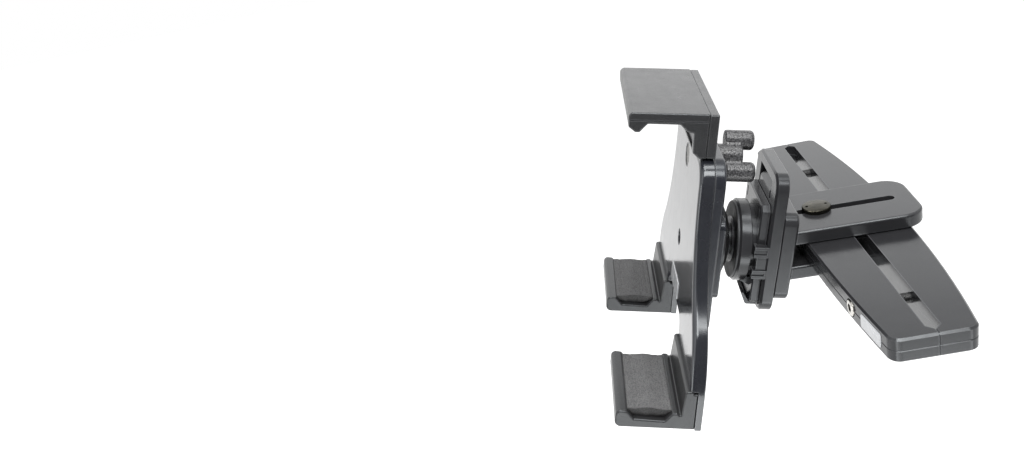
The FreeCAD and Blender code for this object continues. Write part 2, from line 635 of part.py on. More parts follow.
# Seat ring that turns in the collar and holds the ball
ring_d = RING_D - 2 * TURN_FIT
ring = rod(ring_d, (0, RING_FRONT, SWIVEL_HEIGHT), back, ring_rear - RING_FRONT)
flange = rod(RING_FLANGE_D, (0, RING_FRONT, SWIVEL_HEIGHT), back, RING_FLANGE)
flange = bevelled(flange, "y", RING_FRONT, 0.4)
seat = Part.makeSphere(BALL_D / 2 + TURN_FIT, ball_centre)
write("swivel_ring", [without(joined(ring, flange), seat)], FACE_TO_ROW)

# Ball with its neck and the base that sits on the holder
base_front = PLATE_THICKNESS + BACK_PLATE_THICKNESS + REAR_PLATE_THICKNESS
ball = Part.makeSphere(BALL_D / 2, ball_centre)
ball = ball.common(rod(2 * BALL_D, (0, ball_y - BALL_FRONT, SWIVEL_HEIGHT), back, BALL_FRONT + BALL_REAR))
stem = rod(BALL_NECK_D, (0, base_front + 1, SWIVEL_HEIGHT), back, ball_y - base_front - 1)
straight = BASE_DEPTH - BASE_TAPER
base = rod(BASE_D, (0, base_front, SWIVEL_HEIGHT), back, straight)
axis_at_taper = V(0, base_front + straight, SWIVEL_HEIGHT)
taper = Part.makeCone(BASE_D / 2, BASE_TAPER_D / 2, BASE_TAPER, axis_at_taper, V(*back))
centre_len = base_front + 0.7 * BASE_DEPTH
centre_hole = rod(CENTRE_SCREW_D + 2 * SEAT_FIT, (0, 0, SWIVEL_HEIGHT), back, centre_len + 0.3)
swivel_ball = without(joined(base, taper, stem, ball), centre_hole)
write("swivel_ball", [swivel_ball], FACE_TO_ROW)

# Front plate: narrow head flaring down to two wide legs, notch between the legs
top_w = TOP_WIDTH / 2
foot_w = FOOT_SPAN / 2
notch_w = NOTCH_WIDTH / 2
flare_x = foot_w - top_w
flare_top = HOLDER_HEIGHT - PLATE_CORNER - HEAD_STRAIGHT
flare_z = flare_top - FLARE_FOOT
flare = 2 * math.atan(flare_x / flare_z)
hollow_r = FLARE_SHARE * flare_z / math.sin(flare)
swell_r = (1 - FLARE_SHARE) * flare_z / math.sin(flare)


def hollow_at(angle):
    return (top_w + hollow_r * (1 - math.cos(angle)), flare_top - hollow_r * math.sin(angle))


def swell_at(angle):
    return (foot_w - swell_r * (1 - math.cos(angle)), FLARE_FOOT + swell_r * math.sin(angle))


def plate_outline(y):
    c = PLATE_CORNER
    k = c * (1 - math.sqrt(0.5))
    n = NOTCH_CORNER
    m = n * (1 - math.sqrt(0.5))
    half = []
    head = HOLDER_HEIGHT
    points = [[(0, head), (top_w - c, head)], [(top_w - c, head), (top_w - k, head - k), (top_w, head - c)]]
    points.append([(top_w, head - c), (top_w, flare_top)])
    points.append([(top_w, flare_top), hollow_at(flare / 2), hollow_at(flare)])
    points.append([hollow_at(flare), swell_at(flare / 2), (foot_w, FLARE_FOOT)])
    points.append([(foot_w, FLARE_FOOT), (foot_w, 0)])
    points.append([(foot_w, 0), (notch_w, 0)])
    points.append([(notch_w, 0), (notch_w, NOTCH_HEIGHT - n)])
    high = NOTCH_HEIGHT
    points.append([(notch_w, high - n), (notch_w - m, high - m), (notch_w - n, high)])
    points.append([(notch_w - n, high), (0, high)])
    for s in (1, -1):
        for p in points:
            q = [V(s * u, y, v) for u, v in p]
            if (q[0] - q[-1]).Length > 1e-6:
                half.append(Part.makeLine(*q) if len(q) == 2 else Part.Arc(*q).toShape())
    return Part.Wire(Part.__sortEdges__(half))


plate = Part.Face(plate_outline(0)).extrude(V(0, PLATE_THICKNESS, 0))
plate = plate.removeSplitter()
plate = rounded(plate, "y", 0.0, PLATE_EDGE)
plate = rounded(plate, "y", PLATE_THICKNESS, 0.6)
slide_front = PLATE_THICKNESS - SLIDE_FIT - SLIDE_THICKNESS
slide_low = HOLDER_HEIGHT - CLAW_TRAVEL - SLIDE_HOLD
channel_w = SLIDE_WIDTH / 2 + LOOSE_FIT
channel_y = (slide_front - SLIDE_FIT, 2 * PLATE_THICKNESS)
plate_cuts = [block((-channel_w, channel_w), channel_y, (slide_low - 1, 2 * HOLDER_HEIGHT))]
for s in (-1, 1):
    leg = sorted((s * (notch_w - 5), s * (foot_w + 5)))
    plate_cuts.append(block(leg, (-5, FOOT_SEAM), (-5, FOOT_BLOCK + 0.2)))
plate_cuts.append(rod(SWIVEL_HOLE_D, (0, -1, SWIVEL_HEIGHT), back, 2 * PLATE_THICKNESS))
bevel_d = SWIVEL_HOLE_D / 2 + 0.6
plate_cuts.append(Part.makeCone(bevel_d + 0.1, bevel_d - 0.6, 0.7, V(0, -0.1, SWIVEL_HEIGHT), V(*back)))
knob_z = HOLDER_HEIGHT - KNOB_DROP
knob_hole_d = KNOB_BOLT_D + 2 * LOOSE_FIT
plate_cuts.append(rod(knob_hole_d, (0, -1, knob_z), back, 2 * PLATE_THICKNESS))
plate_cuts.append(rod(KNOB_HEAD_D + 4 * SEAT_FIT, (0, -1, knob_z), back, 2.8))
rim_d = KNOB_HEAD_D / 2 + 1.0
plate_cuts.append(Part.makeCone(rim_d, rim_d - 1.0, 1.0, V(0, -0.1, knob_z), V(*back)))
badge_z = (BADGE_MIDDLE - BADGE_HEIGHT / 2, BADGE_MIDDLE + BADGE_HEIGHT / 2)
seat_z = (badge_z[0] - SEAT_FIT, badge_z[1] + SEAT_FIT)
plate_cuts.append(panel(BADGE_WIDTH + 2 * SEAT_FIT, seat_z, (-1, BADGE_DEPTH + SEAT_FIT), 1.5))
forward = (0, -1, 0)
back_rear = PLATE_THICKNESS + BACK_PLATE_THICKNESS
back_x = 0.4 * TOP_WIDTH
back_z = (BACK_PLATE_FOOT + SCREW_INSET, HOLDER_HEIGHT - SCREW_INSET)
back_heads = [(x, back_rear, z) for z in back_z for x in (-back_x, back_x)]
back_screw = BACK_PLATE_THICKNESS + 0.55 * PLATE_THICKNESS
back_holes = screws(back_heads, forward, SCREW_D, back_screw, SCREW_HEAD_D, SEAT_FIT)
foot_x = (notch_w + 0.25 * FOOT_WIDTH, notch_w + 0.75 * FOOT_WIDTH)
foot_heads = [(s * x, PLATE_THICKNESS, 0.6 * FOOT_BLOCK) for s in (-1, 1) for x in foot_x]
foot_screw = PLATE_THICKNESS + 0.6
foot_holes = screws(foot_heads, forward, SCREW_D, foot_screw, SCREW_HEAD_D, SEAT_FIT)
write("front_plate", [without(plate, *plate_cuts, *back_holes, *foot_holes)], FACE_TO_ROW)
write("foot_screws", screws(foot_heads, forward, SCREW_D, foot_screw, SCREW_HEAD_D), FACE_TO_ROW)
write("back_plate_screws", screws(back_heads, forward, SCREW_D, back_screw, SCREW_HEAD_D), FACE_TO_ROW)
plate_badge = panel(BADGE_WIDTH, badge_z, (-BADGE_PROUD, BADGE_DEPTH), 1.5)
write("plate_badge", [rounded(plate_badge, "y", -BADGE_PROUD, 0.35)], FACE_TO_ROW)

# Back plate behind the channel, rear plate under the swivel base
w = top_w - 0.4
head = HOLDER_HEIGHT
c = PLATE_CORNER
shape = [(-w, BACK_PLATE_FOOT, c / 2), (w, BACK_PLATE_FOOT, c / 2), (w, head, c), (-w, head, c)]
back_plate = slab(shape, (PLATE_THICKNESS, back_rear))
back_plate = rounded(back_plate, "y", back_rear, 1.2)
rear_low = SWIVEL_HEIGHT - REAR_PLATE_DROP
rear_x = 0.4 * REAR_PLATE_WIDTH
rear_heads_at = (rear_low + SCREW_HEAD_D, rear_low + REAR_PLATE_HEIGHT - SCREW_HEAD_D)
swivel_heads = [(x, base_front, z) for z in rear_heads_at for x in (-rear_x, rear_x)]
swivel_screw = REAR_PLATE_THICKNESS + 0.7 * BACK_PLATE_THICKNESS
swivel_holes = screws(swivel_heads, forward, SCREW_D, swivel_screw, SCREW_HEAD_D, SEAT_FIT)
knob_hole = rod(knob_hole_d, (0, 0, knob_z), back, 2 * back_rear)
write("back_plate", [without(back_plate, centre_hole, knob_hole, *back_holes, *swivel_holes)], FACE_TO_ROW)
rear_plate = panel(REAR_PLATE_WIDTH, (rear_low, rear_low + REAR_PLATE_HEIGHT), (back_rear, base_front), 4.0)
rear_plate = rounded(rear_plate, "y", base_front, 0.8)
write("rear_plate", [without(rear_plate, centre_hole, *swivel_holes)], FACE_TO_ROW)
write("swivel_screws", screws(swivel_heads, forward, SCREW_D, swivel_screw, SCREW_HEAD_D), FACE_TO_ROW)
centre_y = PLATE_THICKNESS - CENTRE_HEAD_H
centre_head = rod(CENTRE_HEAD_D, (0, centre_y, SWIVEL_HEIGHT), back, CENTRE_HEAD_H)
centre_head = bevelled(centre_head, "y", centre_y, 0.4)
centre_shank = rod(CENTRE_SCREW_D, (0, centre_y, SWIVEL_HEIGHT), back, centre_len - centre_y)
centre_key = hexagon(KEY_WIDTH, (0, centre_y, SWIVEL_HEIGHT), back, 0.6 * CENTRE_HEAD_H)
write("centre_screw", [without(joined(centre_head, centre_shank), centre_key)], FACE_TO_ROW)

# Claw: hooked bar above the plate on a forked slide that runs in the channel
claw_low = HOLDER_HEIGHT + CLAW_GAP
claw_top = claw_low + CLAW_RISE
roof = claw_top - CLAW_ROOF
drop = claw_top - CLAW_DROP
lip = -HOOK_REACH
lip_in = lip + LIP_WIDTH
groove = (lip_in + LIP_SLOPE, -GROOVE_REAR)
claw = [(lip, claw_top, 2.6), (lip + LIP_DRAFT, drop + 2.6, 1.2), (lip + LIP_NOSE, drop, 0.8)]
claw += [(lip_in, drop, 0.8), (groove[0], roof, 1.2), (groove[1], roof, 1.2)]
claw += [(-RIDGE_FRONT, drop + 0.8, 1.0), (-CLAW_FACE, drop, 0.6)]
claw += [(LIP_DRAFT - CLAW_FACE, claw_low + 2.8, 0.8), (-0.6, claw_low, 0.6)]
claw += [(slide_front, claw_low, 0), (slide_front, claw_top, SEAM_ROUND)]
claw_x = (-CLAW_WIDTH / 2, CLAW_WIDTH / 2)
top_claw = bar(claw, claw_x)
top_claw = rounded(top_claw, "x", claw_x[0], END_ROUND)
top_claw = rounded(top_claw, "x", claw_x[1], END_ROUND)
parting_z = (claw_top - PARTING_DROP - PARTING, claw_top - PARTING_DROP)
parting = block((2 * claw_x[0], 2 * claw_x[1]), (2 * lip, slide_front + 1), parting_z)
core = (claw_x[0] + PARTING, claw_x[1] - PARTING)
parting = without(parting, block(core, (lip + PARTING, slide_front + 1), parting_z))
pocket_y = (-GROOVE_REAR, CLAW_POCKET - CLAW_FACE)
claw_pocket = block((claw_x[0] + LIP_NOSE, claw_x[1] - LIP_NOSE), pocket_y, (claw_low + 4.2, drop - 1.2))
claw_screw_x = 0.32 * CLAW_WIDTH
slide_rear = PLATE_THICKNESS - SLIDE_FIT
claw_heads = [(s * claw_screw_x, slide_rear, claw_low + 0.55 * CLAW_RISE) for s in (-1, 1)]
claw_screw = SLIDE_THICKNESS + 4.0
claw_holes = screws(claw_heads, forward, SCREW_D, claw_screw, SCREW_HEAD_D, SEAT_FIT)
write("top_claw", [without(top_claw, claw_pocket, parting, *claw_holes)], FACE_TO_ROW)
w = SLIDE_WIDTH / 2
g = SLIDE_GAP / 2
wide = CLAW_WIDTH / 2
slide = [(-wide, claw_top - 0.3, 1.0), (-wide, claw_low, 1.0), (-w, claw_low, 0)]
slide += [(-w, slide_low, 1.5), (-g, slide_low, 1.5)]
gap_top = knob_z + g
slide += [(-g, gap_top, 0.95 * g), (g, gap_top, 0.95 * g)]
slide += [(g, slide_low, 1.5), (w, slide_low, 1.5), (w, claw_low, 0)]
slide += [(wide, claw_low, 1.0), (wide, claw_top - 0.3, 1.0)]
claw_slide = slab(slide, (slide_front, slide_rear))
head_edges = []
for e in in_plane(claw_slide, "y", slide_front) + in_plane(claw_slide, "y", slide_rear):
    if e.BoundBox.ZMin > claw_low + 0.5:
        head_edges.append(e)
claw_slide = claw_slide.makeFillet(SEAM_ROUND, head_edges)
write("claw_slide", [without(claw_slide, *claw_holes)], FACE_TO_ROW)
write("claw_screws", screws(claw_heads, forward, SCREW_D, claw_screw, SCREW_HEAD_D), FACE_TO_ROW)

# Feet: hooked ledges on the legs, with foam pads in their grooves
f = FOOT_FLOOR
top = FOOT_BLOCK
rim = FOOT_LIP
foot = [(lip, 0, 3.2), (lip + LIP_DRAFT, rim, 2.6), (lip_in, rim - 0.4, 1.6)]
foot += [(groove[0], f + 0.6, 1.0), (groove[1], f, 1.0), (-RIDGE_FRONT, rim - 0.6, 0.8)]
foot += [(RAIL_WIDTH - RIDGE_FRONT, rim - 0.6, 0.8), (-FOOT_FACE - 2 * LIP_DRAFT, rim - RAIL_DROP, 0.6)]
foot += [(-FOOT_FACE + LIP_DRAFT, top, 1.6), (RIDGE_REAR, top, 1.2)]
step = top - RIDGE_STEP
foot += [(RIDGE_REAR + LIP_DRAFT, step, 0.4), (FOOT_SEAM, step, 0), (FOOT_SEAM, 0, 0.6)]
foot_at = (notch_w, notch_w + FOOT_WIDTH)
right_foot = bar(foot, foot_at)
right_foot = rounded(right_foot, "x", foot_at[0], END_ROUND)
right_foot = rounded(right_foot, "x", foot_at[1], END_ROUND)
side = (1, 0, 0)
write("right_foot", [without(right_foot, *foot_holes)], FACE_TO_ROW)
write("left_foot", [without(mirrored(right_foot, side), *foot_holes)], FACE_TO_ROW)
pad = [(lip_in + 4 * PAD_FIT, rim - 0.7, 0), (groove[0] + PAD_FIT, f + 0.6 + PAD_FIT, 0)]
pad += [(groove[1] - PAD_FIT, f + PAD_FIT, 0), (-RIDGE_FRONT - 2 * PAD_FIT, rim - 1.0, 0)]
pad += [(-RIDGE_FRONT - 4 * PAD_FIT, rim + PAD_PROUD, 0), (lip_in + 6 * PAD_FIT, rim + PAD_PROUD, 0)]
right_pad = bar(pad, (foot_at[0] + PAD_INSET, foot_at[1] - PAD_INSET))
write("right_foot_pad", [right_pad], FACE_TO_ROW)
write("left_foot_pad", [mirrored(right_pad, side)], FACE_TO_ROW)

# Clamp of the slide: flush bolt from the front, washer and two-lobed knob behind
knob_head = rod(KNOB_HEAD_D, (0, 0.3, knob_z), back, 1.5)
knob_head = bevelled(knob_head, "y", 0.3, 0.3)
knob_rear = back_rear + WASHER_H
knob_front = knob_rear + SLIDE_FIT
lobe_front = knob_front + KNOB_STANDOFF
thread_end = lobe_front + 0.5 * KNOB_LENGTH
knob_shank = rod(KNOB_BOLT_D, (0, 0.6, knob_z), back, thread_end - 0.6)
write("knob_bolt", [joined(knob_head, knob_shank)], FACE_TO_ROW)
washer = rod(WASHER_D, (0, back_rear, knob_z), back, WASHER_H)
write("knob_washer", [without(washer, rod(knob_hole_d, (0, 0, knob_z), back, 2 * knob_rear))], FACE_TO_ROW)
hub = rod(KNOB_HUB_D, (0, knob_front, knob_z), back, KNOB_HUB_LENGTH + KNOB_STANDOFF)
hub = rounded(hub, "y", lobe_front + KNOB_HUB_LENGTH, 1.0)
web_y = (lobe_front, lobe_front + KNOB_HUB_LENGTH - 1.0)
web = block((-KNOB_WEB / 2, KNOB_WEB / 2), web_y, (-KNOB_LOBE_OFFSET, KNOB_LOBE_OFFSET))
web.Placement = FreeCAD.Placement(V(0, 0, knob_z), FreeCAD.Rotation(V(0, 1, 0), -KNOB_TURN))
lobes = []
turn = math.radians(KNOB_TURN)
for s in (-1, 1):
    out = s * KNOB_LOBE_OFFSET
    at = (-out * math.sin(turn), lobe_front, knob_z + out * math.cos(turn))
    one = rod(KNOB_LOBE_D, at, back, KNOB_LENGTH)
    one = rounded(one, "y", lobe_front + KNOB_LENGTH, 2.4)
    lobes.append(rounded(one, "y", lobe_front, 1.0))
knob_thread = rod(KNOB_BOLT_D + 2 * TURN_FIT, (0, 0, knob_z), back, thread_end + 0.5)
write("wing_knob", [without(joined(hub, web, *lobes), knob_thread)], FACE_TO_ROW)
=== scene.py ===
import json
import math
import bmesh
import bpy
from mathutils import Matrix, Vector, noise


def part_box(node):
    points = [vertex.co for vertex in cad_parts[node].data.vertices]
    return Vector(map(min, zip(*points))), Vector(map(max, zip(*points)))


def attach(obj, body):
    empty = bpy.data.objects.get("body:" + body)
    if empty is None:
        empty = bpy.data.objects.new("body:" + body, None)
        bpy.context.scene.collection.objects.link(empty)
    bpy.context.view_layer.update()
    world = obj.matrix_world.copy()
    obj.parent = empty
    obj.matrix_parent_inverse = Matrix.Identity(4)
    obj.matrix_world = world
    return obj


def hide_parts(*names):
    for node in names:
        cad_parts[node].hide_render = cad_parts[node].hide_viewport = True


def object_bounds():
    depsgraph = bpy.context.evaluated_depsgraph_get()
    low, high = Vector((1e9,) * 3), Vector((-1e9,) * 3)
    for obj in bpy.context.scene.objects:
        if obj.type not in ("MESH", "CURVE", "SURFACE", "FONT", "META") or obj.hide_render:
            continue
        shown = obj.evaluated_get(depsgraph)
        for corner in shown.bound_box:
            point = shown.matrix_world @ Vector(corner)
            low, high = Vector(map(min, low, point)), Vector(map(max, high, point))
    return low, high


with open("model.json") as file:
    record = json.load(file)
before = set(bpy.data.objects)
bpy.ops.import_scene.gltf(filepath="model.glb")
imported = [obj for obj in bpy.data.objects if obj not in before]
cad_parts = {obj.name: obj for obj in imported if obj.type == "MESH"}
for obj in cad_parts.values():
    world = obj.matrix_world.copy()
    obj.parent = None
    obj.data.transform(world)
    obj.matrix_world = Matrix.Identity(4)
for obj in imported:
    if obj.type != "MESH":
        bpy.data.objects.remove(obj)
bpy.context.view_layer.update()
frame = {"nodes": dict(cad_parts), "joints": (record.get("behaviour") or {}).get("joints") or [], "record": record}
nodes = frame["nodes"]

# Bar: two jaws, each of an upper and a lower half, moulded in black plastic.
# The halves close on a thin seam and are drawn together by screws from below.
# Smooth satin faces, a faint cloudiness from the mould, fine rub marks, and edges lightened in colour: partly
# wear, partly a painted highlight.
EDGE_WEAR_AND_HIGHLIGHT = (0.085, 0.087, 0.092)
EDGE_REACH = 0.0007
EDGE_OPEN = (0.55, 0.95)
MOULD_SHEEN = (0.93, 0.975, 1.0)
HAZE_SCALE = 38.0
RUB_SCALE = 140.0


def new_finish(name):
    finish = bpy.data.materials.new(name)
    finish.use_nodes = True
    tree = finish.node_tree
    shader = tree.nodes["Principled BSDF"]
    place = tree.nodes.new("ShaderNodeTexCoord")
    return finish, tree, shader, place.outputs["Object"]


def clouds(tree, where, scale, detail=3.0, rough=0.55):
    cloud = tree.nodes.new("ShaderNodeTexNoise")
    cloud.inputs["Scale"].default_value = scale
    cloud.inputs["Detail"].default_value = detail
    cloud.inputs["Roughness"].default_value = rough
    tree.links.new(where, cloud.inputs["Vector"])
    return cloud.outputs["Fac"]


def spread(tree, value, low, high, start=0.3, stop=0.7):
    reach = tree.nodes.new("ShaderNodeMapRange")
    reach.inputs["From Min"].default_value = start
    reach.inputs["From Max"].default_value = stop
    reach.inputs["To Min"].default_value = low
    reach.inputs["To Max"].default_value = high
    tree.links.new(value, reach.inputs["Value"])
    return reach.outputs["Result"]


def tint(tree, value, dark, light, start=0.3, stop=0.7):
    ramp = tree.nodes.new("ShaderNodeValToRGB")
    for step, place, colour in zip(ramp.color_ramp.elements, (start, stop), (dark, light)):
        step.position = place
        step.color = (*colour, 1)
    tree.links.new(value, ramp.inputs["Fac"])
    return ramp.outputs["Color"]


def relief(tree, value, depth, shader, strength=1.0, under=None):
    bump = tree.nodes.new("ShaderNodeBump")
    bump.inputs["Strength"].default_value = strength
    bump.inputs["Distance"].default_value = depth
    tree.links.new(value, bump.inputs["Height"])
    if under is not None:
        tree.links.new(under, bump.inputs["Normal"])
    tree.links.new(bump.outputs["Normal"], shader.inputs["Normal"])
    return bump.outputs["Normal"]


def painted_over(tree, colour, paint, amount):
    coat = tree.nodes.new("ShaderNodeMix")
    coat.data_type = "RGBA"
    coat.inputs["B"].default_value = (*paint, 1)
    tree.links.new(amount, coat.inputs["Factor"])
    tree.links.new(colour, coat.inputs["A"])
    return coat.outputs["Result"]


# Lightens the colour along every edge: partly wear, partly a painted highlight.
def worn_and_highlighted(tree, colour):
    edge = tree.nodes.new("ShaderNodeAmbientOcclusion")
    edge.inside = True
    edge.only_local = True
    edge.samples = 8
    edge.inputs["Distance"].default_value = EDGE_REACH
    return painted_over(tree, colour, EDGE_WEAR_AND_HIGHLIGHT, spread(tree, edge.outputs["AO"], 1.0, 0.0, *EDGE_OPEN))


def moulded(name, dark, light, smooth, dull, grain, depth):
    finish, tree, shader, where = new_finish(name)
    shader.inputs["Specular Tint"].default_value = (*MOULD_SHEEN, 1)
    haze = clouds(tree, where, HAZE_SCALE, 5.0)
    tree.links.new(worn_and_highlighted(tree, tint(tree, haze, dark, light)), shader.inputs["Base Color"])
    rub = clouds(tree, where, RUB_SCALE, 6.0, 0.65)
    tree.links.new(spread(tree, rub, smooth, dull), shader.inputs["Roughness"])
    relief(tree, clouds(tree, where, grain, 4.0, 0.6), depth, shader)
    return finish


def dress(finish, *names):
    for n in names:
        for s in nodes[n].material_slots:
            s.material = finish


jaw_black = moulded("jaw_black", dark=(0.022, 0.022, 0.024), light=(0.027, 0.027, 0.029),
                    smooth=0.17, dull=0.23, grain=1500.0, depth=0.000006)
dress(jaw_black, "front_jaw_upper", "front_jaw_lower", "rear_jaw_upper", "rear_jaw_lower")

# Screws under the bar and in the plates: blackened steel, countersunk, with a driver recess.
# The same screws hold the clip, the holder's plates, its feet and its claw.
STAIN_SCALE = 220.0
TOOL_LINE_SCALE = 900.0
TOOL_LINE_DEPTH = 0.00002


def worked_metal(name, dark, light, smooth, dull, drawn):
    finish, tree, shader, where = new_finish(name)
    shader.inputs["Metallic"].default_value = 1.0
    stretch = tree.nodes.new("ShaderNodeMapping")
    stretch.inputs["Scale"].default_value = drawn
    tree.links.new(where, stretch.inputs["Vector"])
    lines = clouds(tree, stretch.outputs["Vector"], TOOL_LINE_SCALE)
    stain = clouds(tree, where, STAIN_SCALE, 4.0)
    tree.links.new(tint(tree, stain, dark, light), shader.inputs["Base Color"])
    tree.links.new(spread(tree, lines, smooth, dull), shader.inputs["Roughness"])
    relief(tree, lines, TOOL_LINE_DEPTH, shader, 0.6)
    return finish


screw_black = worked_metal("screw_black", dark=(0.05, 0.05, 0.052), light=(0.10, 0.10, 0.10),
                           smooth=0.30, dull=0.50, drawn=(1, 1, 1))
dress(screw_black, "front_jaw_screws", "rear_jaw_screws", "arm_screws", "clip_screws", "swivel_screws")
dress(screw_black, "back_plate_screws", "foot_screws", "claw_screws", "knob_washer")

# Cross bolts and their square nuts: nickel-plated steel, socket heads sunk in the front jaw.
# The shank runs across the post slot and pulls the jaws together.
bolt_nickel = worked_metal("bolt_nickel", dark=(0.40, 0.39, 0.36), light=(0.62, 0.60, 0.57),
                           smooth=0.16, dull=0.34, drawn=(1, 0.08, 1))
dress(bolt_nickel, "cross_bolt_left", "cross_bolt_right", "cross_nuts", "clamp_bolt", "centre_screw")

# Thread of each cross bolt: rolled ridges, dark with oil, worn flat where the nut runs.
# It turns with its bolt and shows in the open slot between the jaws.
THREAD_ROOT = 0.00251
THREAD_CREST = 0.00270
THREAD_WORN_CREST = 0.00254
THREAD_WORN_FROM = 0.0044
THREAD_PITCH = 0.0008
THREAD_FLAT = (0.4, 0.6)
THREAD_REACH = (-0.0032, 0.0112)
THREAD_SIDES = 32
MERGE = 1e-7


def new_piece(name, mesh, finish, body):
    data = bpy.data.meshes.new(name)
    mesh.to_mesh(data)
    mesh.free()
    data.materials.append(finish)
    piece = bpy.data.objects.new(name, data)
    bpy.context.scene.collection.objects.link(piece)
    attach(piece, body)
    return piece


def spun(mesh, line, axis, steps):
    edges = [mesh.edges.new(pair) for pair in zip(line, line[1:])]
    bmesh.ops.spin(mesh, geom=line + edges, cent=(0, 0, 0), axis=axis, angle=math.tau, steps=steps, use_merge=True)
    bmesh.ops.remove_doubles(mesh, verts=mesh.verts, dist=MERGE)


def bolt_thread(name, body, joint):
    mesh = bmesh.new()
    turns = int((THREAD_REACH[1] - THREAD_REACH[0]) / THREAD_PITCH)
    line = [mesh.verts.new((THREAD_ROOT, THREAD_REACH[0], 0))]
    for k in range(turns):
        start = THREAD_REACH[0] + k * THREAD_PITCH
        crest = THREAD_CREST if start + THREAD_PITCH < THREAD_WORN_FROM else THREAD_WORN_CREST
        for share in THREAD_FLAT:
            line.append(mesh.verts.new((crest, start + share * THREAD_PITCH, 0)))
        line.append(mesh.verts.new((THREAD_ROOT, start + THREAD_PITCH, 0)))
    spun(mesh, line, (0, 1, 0), THREAD_SIDES)
    bmesh.ops.holes_fill(mesh, edges=[e for e in mesh.edges if e.is_boundary], sides=0)
    bmesh.ops.recalc_face_normals(mesh, faces=mesh.faces)
    bmesh.ops.translate(mesh, vec=Vector(joint["pos_m"]), verts=mesh.verts)
    new_piece(name, mesh, screw_black, body)


joints = {j["name"]: j for j in frame["joints"]}
bolt_thread("thread_left", "cross_bolt_left", joints["left_bolt_turn"])
bolt_thread("thread_right", "cross_bolt_right", joints["right_bolt_turn"])

# Arm fork: two slotted plastic arms over and under the bar, with a leaning plate across their ends.
# Moulded in the same black plastic as the jaws, with softly rounded edges.
arm_black = moulded("arm_black", dark=(0.023, 0.023, 0.025), light=(0.029, 0.029, 0.031),
                    smooth=0.20, dull=0.27, grain=1300.0, depth=0.000008)
dress(arm_black, "upper_arm", "lower_arm", "arm_plate")

# Clamp disc: olive-bronze nut with a knurled rim and two pin holes, turned on a lathe, on top of the arm.
# It and the bolt below it pinch the arm on the bar. The knob's bolt has the same finish.
disc_bronze = worked_metal("disc_bronze", dark=(0.036, 0.035, 0.028), light=(0.075, 0.070, 0.056),
                           smooth=0.22, dull=0.42, drawn=(1, 0.05, 1))
dress(disc_bronze, "knob_bolt")
DISC_BORE = 0.00262
DISC_BORE_DEPTH = 0.65
DISC_DOME = 0.0005
DISC_DOME_FALL = ((0.35, 0.12), (0.7, 0.5))
DISC_RIM = 0.0004
DISC_RIDGES = 64
DISC_GROOVE = 0.00022
PIN_SPREAD = 0.0052
PIN_HOLE = 0.0017
PIN_DEPTH = 0.0012
DRILL_LENGTH = 0.002
low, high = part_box("clamp_disc")
disc_middle = Vector(((low.x + high.x) / 2, (low.y + high.y) / 2, 0))
disc_radius = (high.x - low.x) / 2
disc_shoulder = high.z - DISC_DOME
bore_top = low.z + DISC_BORE_DEPTH * (high.z - low.z)
outline = [(0, high.z)]
outline += [(out * disc_radius, high.z - fall * DISC_DOME) for out, fall in DISC_DOME_FALL]
outline += [(disc_radius - DISC_RIM, disc_shoulder), (disc_radius, disc_shoulder - DISC_RIM),
            (disc_radius, low.z + DISC_RIM), (disc_radius - DISC_RIM, low.z),
            (DISC_BORE, low.z), (DISC_BORE, bore_top), (0, bore_top)]
mesh = bmesh.new()
spun(mesh, [mesh.verts.new((x, 0, z)) for x, z in outline], (0, 0, 1), 2 * DISC_RIDGES)
bmesh.ops.recalc_face_normals(mesh, faces=mesh.faces)
for v in mesh.verts:
    reach = math.hypot(v.co.x, v.co.y)
    step = round(math.atan2(v.co.y, v.co.x) / (math.pi / DISC_RIDGES))
    if reach > disc_radius - 1e-6 and step % 2:
        v.co.xy *= (reach - DISC_GROOVE) / reach
bmesh.ops.translate(mesh, vec=disc_middle, verts=mesh.verts)
disc = new_piece("knurled_disc", mesh, disc_bronze, "clamp_disc")
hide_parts("clamp_disc")
pins = bmesh.new()
for way in (-1, 1):
    pin_middle = disc_middle + Vector((0, way * PIN_SPREAD, high.z - PIN_DEPTH + DRILL_LENGTH / 2))
    bmesh.ops.create_cone(pins, cap_ends=True, segments=24, radius1=PIN_HOLE / 2, radius2=PIN_HOLE / 2,
                          depth=DRILL_LENGTH, matrix=Matrix.Translation(pin_middle))
pin_data = bpy.data.meshes.new("pins")
pins.to_mesh(pin_data)
pins.free()
pin_tool = bpy.data.objects.new("pins", pin_data)
bpy.context.scene.collection.objects.link(pin_tool)
drill = disc.modifiers.new("drill", "BOOLEAN")
drill.object = pin_tool
drill.operation = "DIFFERENCE"
bpy.context.view_layer.update()
drilled = bpy.data.meshes.new_from_object(disc.evaluated_get(bpy.context.evaluated_depsgraph_get()))
disc.modifiers.clear()
disc.data = drilled
bpy.data.objects.remove(pin_tool)

# Clip: receiver plate with hooks and latch, and the adapter that slides down into it.
# Moulded in black plastic with a finer, duller face than the bar's.
clip_black = moulded("clip_black", dark=(0.022, 0.022, 0.024), light=(0.029, 0.029, 0.031),
                     smooth=0.20, dull=0.26, grain=2200.0, depth=0.000006)
dress(clip_black, "clip_plate", "clip_latch", "socket_adapter")

# Ball swivel: a matt ring turning in the adapter's collar, and the ball with its base.
# The ring is darker and duller than the plastic around it.
ring_black = moulded("ring_black", dark=(0.007, 0.007, 0.008), light=(0.011, 0.011, 0.012),
                     smooth=0.40, dull=0.55, grain=2600.0, depth=0.00002)
dress(ring_black, "swivel_ring")
ball_black = moulded("ball_black", dark=(0.014, 0.014, 0.015), light=(0.020, 0.020, 0.021),
                     smooth=0.24, dull=0.34, grain=1800.0, depth=0.00001)
dress(ball_black, "swivel_ball")

